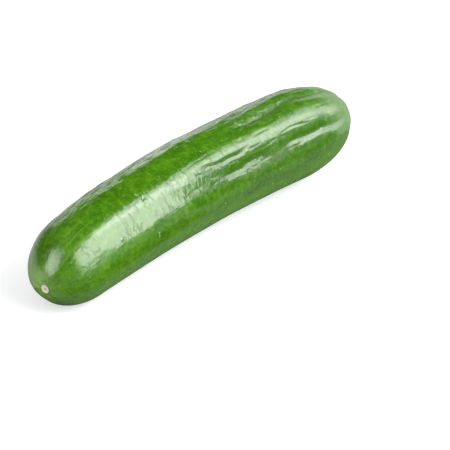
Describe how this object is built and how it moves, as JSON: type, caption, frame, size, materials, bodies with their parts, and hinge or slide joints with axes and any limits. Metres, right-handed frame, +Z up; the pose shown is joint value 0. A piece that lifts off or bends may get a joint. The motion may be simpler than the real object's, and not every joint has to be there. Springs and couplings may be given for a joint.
{
  "type": "cucumber",
  "caption": "Whole fresh cucumber, gently bent, with a rounded blossom end and a tapered stem end with a short cut stem; lies on its belly.",
  "frame": {"origin": "on the surface the cucumber lies on, under the middle of its box", "axes": "+X from the blossom end to the stem end along the chord of the bend, +Y towards the side it bows out to, +Z up from the surface"},
  "size_m": [0.2004, 0.0454, 0.0424],
  "materials": {
    "skin": "glossy, faintly ribbed and wrinkled green skin with fine pale specks and streaks"
  },
  "bodies": {
    "root": {"cucumber": "skin"}
  },
  "joints": []
}
